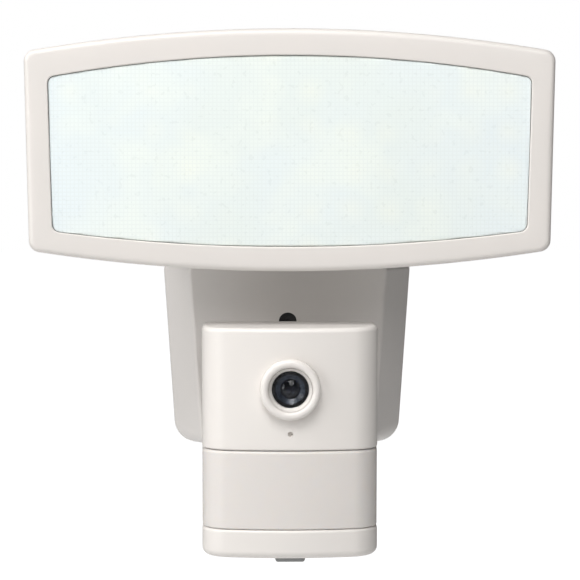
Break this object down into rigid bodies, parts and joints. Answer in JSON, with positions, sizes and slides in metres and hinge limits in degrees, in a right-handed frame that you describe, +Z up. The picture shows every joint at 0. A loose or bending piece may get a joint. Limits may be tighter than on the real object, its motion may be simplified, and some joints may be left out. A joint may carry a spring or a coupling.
{
  "type": "floodlight security camera",
  "caption": "Wall-mounted security floodlight: a wide crowned LED head tilts above a wedge-sided base, with a panning and tilting camera unit and motion sensor in front.",
  "frame": {"origin": "centre of the wall plate's back face, in the plane of the wall", "axes": "+Y into the wall, -Y out towards the viewer, +Z up, +X to the viewer's right"},
  "size_m": [0.2678, 0.1266, 0.2716],
  "materials": {
    "head_plastic": "satin warm white, UV-stable ASA moulding",
    "base_plastic": "satin warm white moulding",
    "camera_plastic": "satin warm white moulding",
    "sensor_window": "milky infrared-clear polyethylene",
    "prismatic_lens": "clear polycarbonate with a fine square prism grid",
    "cast_housing": "white powder-coated die casting",
    "hinge_casting": "white powder-coated die casting",
    "steel": "zinc-plated steel",
    "galvanised_plate": "galvanised sheet steel",
    "rubber_black": "matt black rubber",
    "rubber_grey": "matt grey rubber",
    "gasket": "closed-cell foam",
    "friction_pad": "black nylon",
    "reflector": "bright white polycarbonate",
    "led": "yellow phosphor over a white package",
    "led_circuit": "metal-core board with white solder mask",
    "thermal": "soft thermal pad",
    "circuit_board": "green glass-epoxy board",
    "component_black": "moulded black plastic",
    "can_metal": "tinned metal can",
    "winding": "ferrite core with yellow polyester tape",
    "capacitor": "shrink sleeve",
    "terminal": "glass-filled nylon",
    "wire": "PVC insulation",
    "ceramic_chip": "ceramic",
    "glass_clear": "anti-reflection coated glass",
    "lens_glass": "coated optical glass",
    "lens_black": "matt black moulding",
    "silicon": "image sensor in a ceramic package",
    "card_plastic": "black card"
  },
  "bodies": {
    "root": {"wall_plate": "galvanised_plate", "wall_gasket": "gasket", "base_back_cover": "base_plastic", "base_shell": "base_plastic", "base_screws": "steel", "fixing_screw": "steel", "fixing_screw_plug": "rubber_black", "cable_grommet": "rubber_black", "terminal_block": "terminal", "supply_wires": "wire", "driver_board": "circuit_board", "driver_transformer": "winding", "driver_capacitors": "capacitor", "neck": "hinge_casting", "neck_screws": "steel", "camera_bracket": "camera_plastic", "camera_bracket_screws": "steel", "pan_pin": "steel"},
    "light_head": {"head_bezel": "head_plastic", "head_lens": "prismatic_lens", "head_seal": "gasket", "head_reflector": "reflector", "led_emitters": "led", "led_board": "led_circuit", "thermal_pad": "thermal", "head_housing": "cast_housing", "head_screws": "steel", "hinge_bracket": "hinge_casting", "hinge_bracket_screws": "steel", "tilt_bolt": "steel", "tilt_nut": "steel", "friction_washers": "friction_pad"},
    "swivel_knuckle": {"swivel_knuckle": "camera_plastic"},
    "camera_unit": {"camera_front_shell": "camera_plastic", "camera_rear_shell": "camera_plastic", "pir_lens": "sensor_window", "bottom_cap": "camera_plastic", "lens_ring": "camera_plastic", "lens_inner_ring": "camera_plastic", "lens_window": "glass_clear", "lens_barrel": "lens_black", "lens_element": "lens_glass", "lens_mount": "lens_black", "image_sensor": "silicon", "sensor_board": "circuit_board", "main_board": "circuit_board", "processor_shield": "can_metal", "antenna": "ceramic_chip", "microphone": "component_black", "pir_sensor": "can_metal", "pir_board": "circuit_board", "photocell": "ceramic_chip", "speaker": "component_black", "card_socket": "can_metal", "reset_switch": "component_black", "tilt_pin": "steel", "camera_screws": "steel"},
    "memory_card": {"memory_card": "card_plastic"},
    "reset_button": {"reset_button": "rubber_grey"},
    "service_cover": {"service_cover": "rubber_grey"}
  },
  "joints": [
    {"name": "head_tilt", "type": "hinge", "parent": "root", "child": "light_head", "pos_m": [0, -0.05, 0.087], "axis": [1, 0, 0], "range_deg": [-40, 25]},
    {"name": "camera_pan", "type": "hinge", "parent": "root", "child": "swivel_knuckle", "pos_m": [0, -0.064, -0.02], "axis": [0, 0, 1], "range_deg": [-20, 20]},
    {"name": "camera_tilt", "type": "hinge", "parent": "swivel_knuckle", "child": "camera_unit", "pos_m": [0, -0.085, -0.02], "axis": [1, 0, 0], "range_deg": [-5, 20]},
    {"name": "service_cover_hinge", "type": "hinge", "parent": "camera_unit", "child": "service_cover", "pos_m": [0, -0.1005, -0.0945], "axis": [1, 0, 0], "range_deg": [0, 100], "stiffness_Nm_per_rad": 0.002},
    {"name": "card_push", "type": "slide", "parent": "camera_unit", "child": "memory_card", "axis": [0, 0, 1], "range_m": [0, 0.0008], "stiffness_N_per_m": 400},
    {"name": "reset_press", "type": "slide", "parent": "camera_unit", "child": "reset_button", "axis": [0, 0, 1], "range_m": [0, 0.0005], "stiffness_N_per_m": 400}
  ]
}
